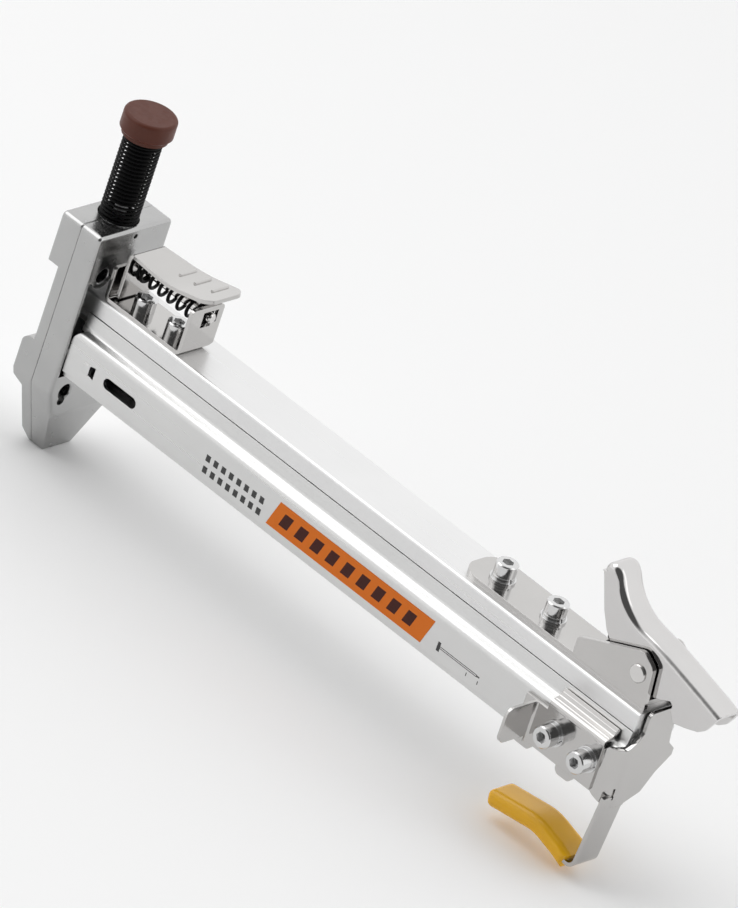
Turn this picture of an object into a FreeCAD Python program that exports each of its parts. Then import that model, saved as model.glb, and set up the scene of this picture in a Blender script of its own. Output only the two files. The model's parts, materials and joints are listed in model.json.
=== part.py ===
import FreeCAD, Part
import math
import os
import Sketcher
from FreeCAD import Placement, Rotation, Vector

# A hand-struck nail gun, in millimetres.
# Frame: the origin is where the driver's axis meets the flat end of the nose.
# +Z points up the driver towards the striking cap, and +X runs along the nail rail,
# away from the head. The tool is nearly symmetric about the plane y = 0.

SIZES = {
    # head casting, in two halves that meet on the plane x = 0
    "head_half_width": 19.4, "head_top": 97.4, "head_back": 10.0, "head_front": 10.1,
    "head_waist": 4.9, "hump_low": 24.0, "hump_high": 45.0, "block_low": 76.5,
    "nose_half_width": 7.45, "knee_half_width": 15.3, "knee_height": 19.2, "taper_top": 29.5,
    "nose_toe": 1.5, "nose_heel": 5.7, "casting_round": 1.1, "corner_round": 2.0, "seam": 0.35,
    "recess_half_width": 17.6, "recess_low": 36.5, "recess_high": 77.0, "recess_floor": 4.0,
    "spring_bore": 7.9, "blade_bore": 2.6, "feed_half_width": 1.4,
    "bush_radius": 6.0, "bush_low": 24.5, "bush_high": 35.5,
    "head_screw_side": 11.3, "head_screw_high": 79.4, "head_screw_low": 29.0, "boss_radius": 5.2,
    "screw_seat": 5.0, "port_floor": 2.6, "counterbore": 3.0,
    # plunger
    "cap_radius": 10.2, "cap_low": 131.8, "cap_top": 141.1, "rod_radius": 4.6, "rod_low": 104.0,
    "blade_radius": 2.5, "blade_low": 60.0, "coil_radius": 7.05, "coil_wire": 0.5,
    "coil_pitch": 1.7, "bumper_low": 77.5, "washer_low": 80.5, "coil_low": 81.5,
    "cap_socket": 5.4, "bumper_radius": 7.7, "seat_radius": 7.6, "seat_bore": 3.2,
    "bush_bore": 2.8,
    # nail rail and the channel that slides on it
    "rail_start": 4.0, "rail_end": 292.4, "rail_half_width": 12.07, "rail_top": 71.64,
    "rail_low": 64.4, "neck_half_width": 8.6, "foot_half_width": 11.2, "foot_top": 61.2,
    "foot_low": 59.0, "hollow_half_width": 5.5, "hollow_low": 66.2, "hollow_high": 69.4,
    "channel_start": 10.3, "channel_end": 292.2, "channel_half_width": 17.27, "channel_low": 37.9,
    "band_half_width": 16.2, "band_high": 39.9, "channel_wall": 1.5, "shoulder_height": 57.0,
    "lip_top": 64.1, "lip_low": 61.5, "lip_gap": 9.0, "ledge_half_width": 12.3,
    # sheet metal
    "sheet": 2.0, "thin_sheet": 1.5,
    # latch box on the head end of the rail
    "box_start": 13.3, "box_end": 53.0, "box_near": 11.0, "box_far": 6.3, "box_wall_top": 86.0,
    "box_end_top": 91.0, "leg_face": 16.3, "leg_low": 73.9, "leg_half_width": 8.4,
    "thumb_half_width": 10.0, "latch_height": 86.1, "latch_rod_radius": 2.0,
    "latch_rod_length": 38.4, "latch_screw_a": 25.3, "latch_screw_b": 42.2, "latch_screw_y": -2.3,
    # lever bracket on the far end of the rail
    "bracket_start": 197.0, "bracket_end": 289.0, "bracket_near": 9.3, "bracket_far": 11.3,
    "lever_screw_a": 210.0, "lever_screw_b": 236.0, "pivot_x": 284.0, "pivot_z": 83.5,
    "lever_half_width": 6.5, "lever_wall": 1.6, "pin_radius": 2.5,
    # bracket, clamp and arm on the end of the channel
    "wing_face": 18.8, "clamp_face": 20.0, "clamp_start": 253.6, "clamp_end": 287.6,
    "clamp_low": 38.2, "clamp_high": 55.0, "end_plate": 293.1, "arm_width": 12.0,
    "clamp_screw_a": 266.1, "clamp_screw_b": 282.9, "clamp_screw_z": 48.5,
    # M5 and M3 socket screws with their washers and nuts
    "five_head_radius": 4.25, "five_head_height": 5.0, "five_shank": 2.4, "five_hole": 2.6,
    "five_socket": 2.3, "washer_height": 1.0, "spring_washer_height": 1.3, "washer_radius": 5.0,
    "spring_washer_radius": 4.4, "nut_radius": 4.6, "nut_height": 4.0,
    "three_head_radius": 2.7, "three_head_height": 2.3, "three_shank": 1.45,
    "three_hole": 1.6, "three_tap": 1.5, "three_socket": 1.45,
    # nail track inside the channel, with its pusher
    "track_start": 4.6, "track_end": 285.0, "track_half_width": 3.6, "track_gap": 2.6,
    "track_low": 39.4, "track_floor": 40.4, "track_high": 57.0, "pusher_half_width": 2.2,
    "pusher_axle_x": 31.5, "pusher_axle_z": 49.2, "pusher_axle_radius": 1.45,
    "pusher_hole": 1.5, "roll_radius": 7.0, "roll_bore": 1.6, "roll_width": 2.8,
}


class Size:
    """A length known both as a number and as an expression on the sheet."""

    def __init__(self, value, text):
        self.value = value
        self.text = text

    def __add__(self, other):
        other = as_size(other)
        return Size(self.value + other.value, f"({self.text} + {other.text})")

    def __sub__(self, other):
        other = as_size(other)
        return Size(self.value - other.value, f"({self.text} - {other.text})")

    def __neg__(self):
        return Size(-self.value, f"(0 - {self.text})")

    def __mul__(self, factor):
        return Size(self.value * factor, f"({self.text} * {factor})")


def as_size(number):
    return number if isinstance(number, Size) else Size(float(number), repr(float(number)))


class Sheet:
    """Gives each driving size as an attribute, such as d.head_top."""

    def __init__(self, document):
        self.cells = document.addObject("Spreadsheet::Sheet", "Sizes")
        for row, (name, value) in enumerate(SIZES.items(), start=1):
            self.cells.set(f"A{row}", name)
            self.cells.set(f"B{row}", str(value))
            self.cells.setAlias(f"B{row}", name)
        document.recompute()

    def __getattr__(self, name):
        return Size(SIZES[name], f"Sizes.{name}")


doc = FreeCAD.newDocument("staple_gun")
d = Sheet(doc)
parts = []


def bind(thing, field, length):
    """Ties one property of an object to the sheet."""
    thing.setExpression(field, as_size(length).text)


def place(thing, x=0, y=0, z=0, rotation=None):
    """Puts an object at x, y, z, with its position tied to the sheet."""
    spot = [as_size(c) for c in (x, y, z)]
    thing.Placement = Placement(Vector(*[c.value for c in spot]), rotation or Rotation())
    for axis, c in zip("xyz", spot):
        bind(thing, f"Placement.Base.{axis}", c)


def keep(thing, name):
    """Names a finished sub-part and lists it for export."""
    thing.Label = name
    parts.append(thing)
    return thing


# ---------------------------------------------------------------- sketches and features

ROLES = {"XY": "XY_Plane", "XZ": "XZ_Plane", "YZ": "YZ_Plane"}
FACING = {"XY": 1, "XZ": -1, "YZ": 1}    # the way a plane's normal points along its axis


def new_body(name):
    return keep(doc.addObject("PartDesign::Body", name), name)


def new_sketch(body, plane, at):
    sketch = body.newObject("Sketcher::SketchObject", "Profile")
    support = next(f for f in body.Origin.OriginFeatures if f.Role == ROLES[plane])
    sketch.AttachmentSupport = [(support, "")]
    sketch.MapMode = "FlatFace"
    bind(sketch, "AttachmentOffset.Base.z", as_size(at) * FACING[plane])
    return sketch


def constrain(sketch, kind, geometry, point, size):
    number = sketch.addConstraint(Sketcher.Constraint(kind, -1, 1, geometry, point, size.value))
    sketch.setExpression(f"Constraints[{number}]", size.text)


def draw_polygon(sketch, corners):
    corners = [(as_size(a), as_size(b)) for a, b in corners]
    points = [Vector(a.value, b.value, 0) for a, b in corners]
    first = sketch.GeometryCount
    for start, end in zip(points, points[1:] + points[:1]):
        sketch.addGeometry(Part.LineSegment(start, end), False)
    count = len(points)
    for i in range(count):
        after = first + (i + 1) % count
        sketch.addConstraint(Sketcher.Constraint("Coincident", first + i, 2, after, 1))
    for i, (a, b) in enumerate(corners):
        constrain(sketch, "DistanceX", first + i, 1, a)
        constrain(sketch, "DistanceY", first + i, 1, b)


def draw_circle(sketch, centre, radius):
    a, b, r = (as_size(c) for c in (*centre, radius))
    number = sketch.GeometryCount
    circle = Part.Circle(Vector(a.value, b.value, 0), Vector(0, 0, 1), r.value)
    sketch.addGeometry(circle, False)
    constrain(sketch, "DistanceX", number, 3, a)
    constrain(sketch, "DistanceY", number, 3, b)
    held = sketch.addConstraint(Sketcher.Constraint("Radius", number, r.value))
    sketch.setExpression(f"Constraints[{held}]", r.text)


def bend(before, corner, after, radius):
    """Where a path turns a corner on an arc: its start, middle, end and centre."""
    into = (corner - before).normalize()
    out = (after - corner).normalize()
    turn = into.getAngle(out)
    back = radius * math.tan(turn / 2)
    inward = (out - into).normalize()
    centre = corner + inward * (radius / math.cos(turn / 2))
    return corner - into * back, centre - inward * radius, corner + out * back, centre


def strip_outline(path, thickness):
    """Edges round a bent strip whose middle line has (a, b, bend radius) corners."""
    points = [Vector(a, b, 0) for a, b, _ in path]
    sides = []
    for side in (1, -1):
        edges, here = [], None
        for i, point in enumerate(points):
            if i in (0, len(points) - 1):
                other = points[1] if i == 0 else points[-2]
                along = (other - point if i == 0 else point - other).normalize()
                spot = point + Vector(-along.y, along.x, 0) * (side * thickness / 2)
                if here is not None:
                    edges.append(Part.LineSegment(here, spot))
                here = spot
                continue
            *arc, centre = bend(points[i - 1], point, points[i + 1], path[i][2])
            into = (point - points[i - 1]).normalize()
            left = Vector(-into.y, into.x, 0)
            outer = -1 if left.dot(centre - arc[0]) > 0 else 1
            reach = path[i][2] + outer * side * thickness / 2
            arc = [centre + (p - centre).normalize() * reach for p in arc]
            edges.append(Part.LineSegment(here, arc[0]))
            edges.append(Part.Arc(*arc))
            here = arc[2]
        sides.append(edges)
    ends = [Part.LineSegment(sides[0][0].StartPoint, sides[1][0].StartPoint),
            Part.LineSegment(sides[0][-1].EndPoint, sides[1][-1].EndPoint)]
    return sides[0] + sides[1] + ends


def add_feature(body, kind, sketch, length):
    feature = body.newObject(kind, kind.split("::")[1])
    feature.Profile = sketch
    feature.Length = as_size(length).value
    bind(feature, "Length", length)
    body.Tip = feature
    doc.recompute()
    return feature


def fill(sketch, corners, circles, edges):
    if corners:
        draw_polygon(sketch, corners)
    for centre, radius in circles:
        draw_circle(sketch, centre, radius)
    for edge in edges:
        sketch.addGeometry(edge, False)


def add(body, plane, low, high, corners=(), circles=(), edges=()):
    """Adds the prism of a profile between two heights along the plane's axis."""
    sketch = new_sketch(body, plane, low if FACING[plane] > 0 else high)
    fill(sketch, corners, circles, edges)
    return add_feature(body, "PartDesign::Pad", sketch, as_size(high) - low)


def cut(body, plane, low, high, corners=(), circles=(), edges=()):
    """Cuts the prism of a profile, and checks that it took material away."""
    before = body.Shape.Volume
    sketch = new_sketch(body, plane, high if FACING[plane] > 0 else low)
    fill(sketch, corners, circles, edges)
    feature = add_feature(body, "PartDesign::Pocket", sketch, as_size(high) - low)
    if body.Shape.Volume > before - 1e-3:
        raise RuntimeError(f"{body.Label}: a pocket cut nothing")
    return feature


def rectangle(a_low, a_high, b_low, b_high):
    return [(a_low, b_low), (a_high, b_low), (a_high, b_high), (a_low, b_high)]


def slot_edges(a_low, a_high, middle, half):
    """Edges of a slot with round ends, along the sketch's first axis."""
    corners = [Vector(a_low, middle - half, 0), Vector(a_high, middle - half, 0),
               Vector(a_high, middle + half, 0), Vector(a_low, middle + half, 0)]
    return [Part.LineSegment(corners[0], corners[1]),
            Part.Arc(corners[1], Vector(a_high + half, middle, 0), corners[2]),
            Part.LineSegment(corners[2], corners[3]),
            Part.Arc(corners[3], Vector(a_low - half, middle, 0), corners[0])]


def round_off(body, radius, wanted, kind="Fillet"):
    """Rounds or chamfers the edges of a body that pass a test."""
    shape = body.Tip.Shape
    names = [f"Edge{i}" for i, edge in enumerate(shape.Edges, start=1) if wanted(edge)]
    if not names:
        raise RuntimeError(f"{body.Label}: no edge to round")
    feature = body.newObject(f"PartDesign::{kind}", kind)
    feature.Base = (body.Tip if body.Tip != feature else feature.BaseFeature, names)
    size = "Radius" if kind == "Fillet" else "Size"
    setattr(feature, size, as_size(radius).value)
    bind(feature, size, radius)
    body.Tip = feature
    doc.recompute()
    return feature


def runs_along(edge, axis):
    if len(edge.Vertexes) != 2 or not isinstance(edge.Curve, Part.Line):
        return False
    direction = edge.Curve.Direction
    return abs(abs(getattr(direction, axis.lower())) - 1) < 1e-6


def at(edge, **where):
    """True if an edge's middle has the stated coordinates, given as x=, y= or z=."""
    middle = edge.CenterOfMass
    return all(abs(getattr(middle, axis) - as_size(value).value) < 0.02
               for axis, value in where.items())


# ---------------------------------------------------------------- round parts

ALONG_X = Rotation(Vector(0, 1, 0), 90)
AGAINST_X = Rotation(Vector(0, 1, 0), -90)
ALONG_Y = Rotation(Vector(1, 0, 0), -90)
AGAINST_Y = Rotation(Vector(1, 0, 0), 90)
DOWN = Rotation(Vector(1, 0, 0), 180)
UP = Rotation()


def cylinder(radius, height, base=0):
    thing = doc.addObject("Part::Cylinder", "Round")
    bind(thing, "Radius", radius)
    bind(thing, "Height", height)
    bind(thing, "Placement.Base.z", base)
    return thing


def hexagon(radius, height, base=0):
    thing = doc.addObject("Part::Prism", "Hexagon")
    thing.Polygon = 6
    bind(thing, "Circumradius", radius)
    bind(thing, "Height", height)
    bind(thing, "Placement.Base.z", base)
    return thing


def combine(kind, first, second):
    result = doc.addObject(f"Part::{kind}", kind)
    result.Base = first
    result.Tool = second
    return result


def chamfered(base, size, wanted):
    """A Part chamfer of the edges that pass a test."""
    doc.recompute()
    result = doc.addObject("Part::Chamfer", "Chamfer")
    result.Base = base
    result.Edges = [(i, size, size) for i, edge in enumerate(base.Shape.Edges, start=1)
                    if wanted(edge)]
    return result


def group(name, things):
    """One node of separate, identical solids."""
    result = doc.addObject("Part::Compound", name)
    result.Links = things
    return keep(result, name)


def socket_screw(radius, height, shank, length, socket):
    """A socket head screw: its head stands on z = 0 and its shank hangs below."""
    head = chamfered(cylinder(radius, height), 0.45,
                     lambda e: e.Closed and e.CenterOfMass.z > 0.5)
    blank = combine("Fuse", head, cylinder(shank, length, -length))
    return combine("Cut", blank, hexagon(socket, as_size(height) * 0.55, as_size(height) * 0.45))


def ring(outer, inner, height):
    return combine("Cut", cylinder(outer, height), cylinder(inner, height))


def split_ring(outer, inner, height):
    """A spring washer: a ring with a narrow slanted gap."""
    gap = doc.addObject("Part::Box", "Gap")
    bind(gap, "Length", outer)
    bind(gap, "Width", 0.5)
    bind(gap, "Height", as_size(height) * 3)
    gap.Placement = Placement(Vector(0, -0.25, -height.value), Rotation(Vector(1, 0, 0), 20))
    return combine("Cut", ring(outer, inner, height), gap)


def five_screw(length):
    return socket_screw(d.five_head_radius, d.five_head_height, d.five_shank,
                        as_size(length), d.five_socket)


def five_set(name, spots, rotation, length, offsets):
    """Screws, spring washers and flat washers on the same spots.

    Each spot is on the clamped face, and offsets gives the way out of it.
    """
    stacks = [("flat_washers", as_size(0), lambda: ring(d.washer_radius, d.five_hole,
                                                        d.washer_height)),
              ("spring_washers", d.washer_height,
               lambda: split_ring(d.spring_washer_radius, d.five_hole, d.spring_washer_height)),
              ("screws", d.washer_height + d.spring_washer_height, lambda: five_screw(length))]
    for kind, lift, make in stacks:
        things = []
        for spot in spots:
            thing = make()
            place(thing, *[as_size(c) + lift * way for c, way in zip(spot, offsets)],
                  rotation=rotation)
            things.append(thing)
        group(f"{name}_{kind}", things)


def coil(name, radius, wire, pitch, height, base, rotation=None):
    """A helical spring whose turns are worked out by the helix itself."""
    helix = Part.makeHelix(pitch, height, radius)
    start = helix.Edges[0].valueAt(helix.Edges[0].FirstParameter)
    tangent = helix.Edges[0].tangentAt(helix.Edges[0].FirstParameter)
    section = Part.Wire(Part.makeCircle(wire, start, tangent))
    thing = doc.addObject("Part::Feature", name)
    thing.Shape = Part.Wire(helix.Edges).makePipeShell([section], True, True)
    thing.Placement = Placement(Vector(*base), rotation or Rotation())
    return keep(thing, name)


# ---------------------------------------------------------------- head casting

def head_outline(body, low, high):
    """The head's front view: upright sides that taper in two steps to the nose."""
    add(body, "YZ", low, high, [
        (-d.nose_half_width, 0), (d.nose_half_width, 0),
        (d.knee_half_width, d.knee_height), (d.head_half_width, d.taper_top),
        (d.head_half_width, d.head_top), (-d.head_half_width, d.head_top),
        (-d.head_half_width, d.taper_top), (-d.knee_half_width, d.knee_height)])


def head_bores(body):
    """The stepped bore for the spring, the driver blade and the nose bush."""
    cut(body, "XY", d.bumper_low, d.head_top + 1, circles=[((0, 0), d.spring_bore)])
    cut(body, "XY", as_size(-1), d.bumper_low + 1, circles=[((0, 0), d.blade_bore)])
    cut(body, "XY", d.bush_low, d.bush_high, circles=[((0, 0), d.bush_radius)])


LOW, HIGH = d.head_screw_low, d.head_screw_high
HEAD_SCREWS = [(side, height) for side in (-d.head_screw_side, d.head_screw_side)
               for height in (LOW, HIGH)]
RAIL_SCREWS = [(-8, 67.9), (8, 67.9)]
BEYOND = 12.5           # how far a cutter reaches past the faces of the head


def waist_edges():
    """The gap between the upper block and the hump, which is rounded over at its top."""
    waist, low, high = -d.head_waist.value, d.hump_high.value, d.block_low.value
    reach = d.head_front.value - d.head_waist.value
    crown = Vector(waist - reach, low - reach, 0)
    middle = Vector(waist - reach * math.sqrt(0.5), low - reach * (1 - math.sqrt(0.5)), 0)
    corners = [crown, Vector(-BEYOND, low - reach, 0), Vector(-BEYOND, high, 0),
               Vector(waist, high, 0), Vector(waist, low, 0)]
    sides = [Part.LineSegment(start, end) for start, end in zip(corners, corners[1:])]
    return sides + [Part.Arc(corners[-1], middle, crown)]


def head_rim(body):
    """Rounds the two top corners and chamfers the seam that the halves share."""
    round_off(body, d.corner_round, lambda e: runs_along(e, "X") and at(e, z=d.head_top))
    round_off(body, d.seam, lambda e: at(e, x=0) and e.CenterOfMass.z > 1, kind="Chamfer")


def head_front_cover():
    body = new_body("head_front_cover")
    wide = d.head_half_width + 1
    head_outline(body, -d.head_front, 0)
    head_rim(body)
    round_off(body, d.casting_round, lambda e: at(e, x=-d.head_front))
    cut(body, "XZ", -wide, wide, [
        (-BEYOND, -1), (-d.nose_toe, -1), (-d.nose_toe, 0), (-d.head_waist, 4),
        (-d.head_waist, d.hump_low), (-d.head_front, d.hump_low + 3),
        (-BEYOND, d.hump_low + 3)])
    cut(body, "XZ", -wide, wide, edges=waist_edges())
    round_off(body, d.casting_round,
              lambda e: runs_along(e, "Z") and at(e, x=-d.head_waist) and e.CenterOfMass.z > 40)
    head_bores(body)
    cut(body, "YZ", -7.5, 0, circles=[(spot, d.three_tap) for spot in HEAD_SCREWS])


def head_rear_housing():
    body = new_body("head_rear_housing")
    wide, face = d.head_half_width + 1, d.head_back + 1
    head_outline(body, 0, d.head_back)
    head_rim(body)
    cut(body, "XZ", -wide, wide, [
        (d.nose_heel, -1), (face, -1), (face, d.knee_height), (d.head_back, d.knee_height),
        (d.nose_heel, 0)])
    round_off(body, d.casting_round + 0.3, lambda e: at(e, x=d.head_back)
              and e.CenterOfMass.z > d.knee_height.value + 1)
    side = d.recess_half_width
    cut(body, "YZ", d.recess_floor, face, rectangle(-side, side, d.recess_low, d.recess_high))
    high = [spot for spot in HEAD_SCREWS if spot[1] is HIGH]
    add(body, "YZ", 0, d.head_back, circles=[(spot, d.boss_radius) for spot in high])
    head_bores(body)
    cut(body, "YZ", d.screw_seat, face, circles=[(spot, d.counterbore) for spot in HEAD_SCREWS])
    round_off(body, 0.4, lambda e: e.Closed and at(e, x=d.head_back), kind="Chamfer")
    cut(body, "YZ", -1, d.screw_seat + 1,
        circles=[(spot, d.three_hole) for spot in HEAD_SCREWS])
    keyholes = [((y, d.head_screw_low - 3.8), 1.9) for y in (-d.head_screw_side - 0.6,
                                                             d.head_screw_side + 0.6)]
    cut(body, "YZ", 7, face, circles=keyholes)
    cut(body, "YZ", -1, d.port_floor, circles=[(spot, d.counterbore) for spot in RAIL_SCREWS])
    cut(body, "YZ", -1, d.recess_floor + 1, circles=[(spot, d.three_hole) for spot in RAIL_SCREWS])
    cut(body, "YZ", -1, d.recess_floor + 1,
        rectangle(-d.feed_half_width, d.feed_half_width, 37.8, 59.6))
    cut(body, "YZ", 8, face, circles=[((0.3, 94.1), 1.0)])


def three_screws(name, spots, seat, length, rotation):
    """M3 socket screws whose heads stand on the face x = seat."""
    things = []
    for y, z in spots:
        thing = socket_screw(d.three_head_radius, d.three_head_height, d.three_shank,
                             as_size(length), d.three_socket)
        place(thing, seat, y, z, rotation=rotation)
        things.append(thing)
    group(name, things)


def nose_guide_bush():
    bush = ring(d.bush_radius, d.bush_bore, d.bush_high - d.bush_low)
    place(bush, z=d.bush_low)
    keep(bush, "nose_guide_bush")


# ---------------------------------------------------------------- plunger

def striking_cap():
    """A disc with a stepped underside and a rounded top edge, socketed on the rod."""
    body = new_body("striking_cap")
    low, top, radius, edge = d.cap_low.value, d.cap_top.value, d.cap_radius.value, 1.3
    sketch = new_sketch(body, "XZ", 0)
    corners = [Vector(0, low, 0), Vector(8.9, low, 0), Vector(8.9, low + 1.2, 0),
               Vector(radius, low + 2.4, 0), Vector(radius, top - edge, 0)]
    rim = [Vector(radius - edge * (1 - math.sqrt(0.5)), top - edge * (1 - math.sqrt(0.5)), 0),
           Vector(radius - edge, top, 0), Vector(0, top, 0)]
    for start, end in zip(corners, corners[1:]):
        sketch.addGeometry(Part.LineSegment(start, end), False)
    sketch.addGeometry(Part.Arc(corners[-1], rim[0], rim[1]), False)
    sketch.addGeometry(Part.LineSegment(rim[1], rim[2]), False)
    sketch.addGeometry(Part.LineSegment(rim[2], corners[0]), False)
    turned = body.newObject("PartDesign::Revolution", "Turned")
    turned.Profile = sketch
    turned.ReferenceAxis = (sketch, ["V_Axis"])
    turned.Angle = 360.0
    body.Tip = turned
    doc.recompute()
    cut(body, "XY", low - 1, d.cap_low + d.cap_socket, circles=[((0, 0), d.rod_radius)])


def plunger():
    striking_cap()
    rod = cylinder(d.rod_radius, d.cap_low + d.cap_socket - d.rod_low)
    place(rod, z=d.rod_low)
    keep(rod, "driver_rod")
    blade = cylinder(d.blade_radius, d.rod_low - d.blade_low)
    place(blade, z=d.blade_low)
    keep(blade, "driver_blade")
    bumper = ring(d.bumper_radius, d.seat_bore, d.washer_low - d.bumper_low)
    place(bumper, z=d.bumper_low)
    keep(bumper, "driver_bumper")
    washer = ring(d.seat_radius, d.seat_bore, d.coil_low - d.washer_low)
    place(washer, z=d.washer_low)
    keep(washer, "spring_seat_washer")
    wire = d.coil_wire.value
    coil("return_spring", d.coil_radius.value, wire, d.coil_pitch.value,
         d.cap_low.value - d.coil_low.value - 2 * wire - 0.1,
         (0, 0, d.coil_low.value + wire + 0.05))


# ---------------------------------------------------------------- nail rail

LATCH_SCREWS = [(x, d.latch_screw_y) for x in (d.latch_screw_a, d.latch_screw_b)]
LEVER_SCREWS = [(x, as_size(0)) for x in (d.lever_screw_a, d.lever_screw_b)]


def upper_rail():
    """A hollow extrusion: box, neck and foot, with screw holes in its top and its end."""
    body = new_body("upper_rail")
    box, neck, foot = d.rail_half_width, d.neck_half_width, d.foot_half_width
    half = [(box, d.rail_top), (box, d.rail_low), (neck, d.rail_low), (neck, d.foot_top),
            (foot, d.foot_top), (foot, d.foot_low)]
    add(body, "YZ", d.rail_start, d.rail_end, half + [(-y, z) for y, z in reversed(half)])
    round_off(body, 1.2, lambda e: runs_along(e, "X") and at(e, z=d.rail_top))
    hollow = rectangle(-d.hollow_half_width, d.hollow_half_width, d.hollow_low, d.hollow_high)
    cut(body, "YZ", d.rail_start - 1, d.rail_end + 1, hollow)
    cut(body, "XY", d.hollow_high - 1, d.rail_top + 1,
        circles=[(spot, d.five_hole) for spot in LATCH_SCREWS + LEVER_SCREWS])
    cut(body, "YZ", d.rail_start - 1, d.rail_start + 11,
        circles=[(spot, d.three_tap) for spot in RAIL_SCREWS])


# ---------------------------------------------------------------- spring latch on the rail

FIVE_LENGTH = 9.0       # M5 screw shank, under the head
LATCH_SCREW_LENGTH = 6.5
LATCH_COIL, LATCH_WIRE = 4.6, 0.7       # radii of the latch spring and of its wire


def latch_bracket():
    """A U of sheet, off centre on the rail, with a window in the wall that backs the spring."""
    body = new_body("latch_bracket")
    thick = d.thin_sheet
    half = thick.value / 2
    floor = d.rail_top.value + half
    left, right = d.box_start.value + half, d.box_end.value - half
    path = [(left, d.box_wall_top.value, 0), (left, floor, 1.6), (right, floor, 1.6),
            (right, d.box_end_top.value, 0)]
    add(body, "XZ", -d.box_near, d.box_far, edges=strip_outline(path, thick.value))
    round_off(body, 1.8, lambda e: runs_along(e, "X") and e.CenterOfMass.z > d.box_wall_top.value - 1)
    wall = (d.box_end - 4, d.box_end + 1)
    cut(body, "YZ", *wall, [(-4.2, 82.4), (1.0, 82.4), (1.0, 83.7), (3.6, 83.7), (3.6, 88.9),
                            (-4.2, 88.9)])
    cut(body, "YZ", *wall, [(3.0, d.rail_top - 1), (d.box_far + 1, d.rail_top - 1),
                            (d.box_far + 1, d.rail_top + 3.2), (3.0, d.rail_top)])
    cut(body, "XY", d.rail_top - 1, d.rail_top + 3,
        circles=[(spot, d.five_hole) for spot in LATCH_SCREWS])


RIB_SPOTS = [(34.9, 93.25), (42.3, 94.25), (50.6, 96.15)]     # x and z of the raised ribs
RIB_NEAR, RIB_FAR, RIB_RADIUS = -0.8, 7.6, 0.6


def latch_thumb_plate():
    """A plate that curls up to the thumb, with a leg that pushes on the spring."""
    body = new_body("latch_thumb_plate")
    thick = d.thin_sheet.value
    leg = d.leg_face.value + thick / 2
    path = [(leg, d.leg_low.value, 0), (leg, 92.3, 1.6), (38.0, 92.3, 60.0), (57.7, 97.0, 0)]
    half = d.thumb_half_width
    add(body, "XZ", -half, half, edges=strip_outline(path, thick))
    for way in (-1, 1):
        leg_side, plate_side = d.leg_half_width * way, (half + 1) * way
        taper = [(d.leg_face - 1, leg_side), (d.leg_face + 2, leg_side), (38, half * way),
                 (38, plate_side), (d.leg_face - 1, plate_side)]
        cut(body, "XY", d.leg_low - 1, 97, taper)
    tip = [e.CenterOfMass for e in body.Tip.Shape.Edges if e.CenterOfMass.x > 57 and e.Length < 2
           and abs(e.CenterOfMass.y) > 8]
    round_off(body, 5.0, lambda e: any((e.CenterOfMass - p).Length < 0.01 for p in tip))
    for spot in RIB_SPOTS:
        add(body, "XZ", RIB_NEAR, RIB_FAR, circles=[(spot, RIB_RADIUS)])
    cut(body, "YZ", d.leg_face - 1, d.leg_face + 3,
        circles=[((0, d.latch_height), d.latch_rod_radius)])


def latch():
    latch_bracket()
    latch_thumb_plate()
    rod = chamfered(cylinder(d.latch_rod_radius, d.latch_rod_length), 0.5, lambda e: e.Closed)
    place(rod, d.leg_face - 0.5, 0, d.latch_height, rotation=ALONG_X)
    keep(rod, "latch_guide_rod")
    start = d.leg_face.value + d.thin_sheet.value + LATCH_WIRE + 0.05
    end = d.box_end.value - d.thin_sheet.value - LATCH_WIRE - 0.05
    coil("latch_spring", LATCH_COIL, LATCH_WIRE, 3.9, end - start, (start, 0, d.latch_height.value),
         ALONG_X)
    screws = []
    for x, y in LATCH_SCREWS:
        screw = five_screw(LATCH_SCREW_LENGTH)
        place(screw, x, y, d.rail_top + d.thin_sheet)
        screws.append(screw)
    group("latch_bracket_screws", screws)


# ---------------------------------------------------------------- lever on the rail

CHEEK_START, CHEEK_SHOULDER = 254.8, 80.4        # x and z of the cheeks' lowest top corner

def lever_bracket():
    """A channel of sheet: a long round-ended foot and two cheeks that hold the pivot."""
    body = new_body("lever_bracket")
    near, far = -d.bracket_near, d.bracket_far
    low, high = d.rail_top, d.rail_top + d.sheet
    add(body, "XY", low, high, rectangle(d.bracket_start, d.bracket_end, near, far))
    round_off(body, 8.0, lambda e: runs_along(e, "Z") and at(e, x=d.bracket_start))
    for start, end in ((near, near + d.sheet), (far - d.sheet, far)):
        add(body, "XZ", start, end, [
            (CHEEK_START, low), (CHEEK_START, CHEEK_SHOULDER), (283.2, 92.4), (289.6, 88.6),
            (291.4, low)])
    round_off(body, 3.4, lambda e: runs_along(e, "Y") and e.CenterOfMass.z > 85)
    round_off(body, 2.0, lambda e: runs_along(e, "Y") and at(e, x=CHEEK_START, z=CHEEK_SHOULDER))
    cut(body, "XY", low - 1, high + 1, circles=[(spot, d.five_hole) for spot in LEVER_SCREWS])
    cut(body, "XZ", near - 1, far + 1, circles=[((d.pivot_x, d.pivot_z), d.pin_radius)])


def lever_pivot_pin():
    shank = cylinder(d.pin_radius, d.bracket_near + d.bracket_far, -d.bracket_far)
    heads = [chamfered(cylinder(as_size(3.5), as_size(0.9)), 0.35,
                       lambda e: e.Closed and e.CenterOfMass.z > 0.5) for _ in range(2)]
    place(heads[0], 0, 0, d.bracket_near)
    place(heads[1], 0, 0, -d.bracket_far, rotation=DOWN)
    pin = combine("Fuse", combine("Fuse", shank, heads[0]), heads[1])
    place(pin, d.pivot_x, 0, d.pivot_z, rotation=AGAINST_Y)
    keep(pin, "lever_pivot_pin")


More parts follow.
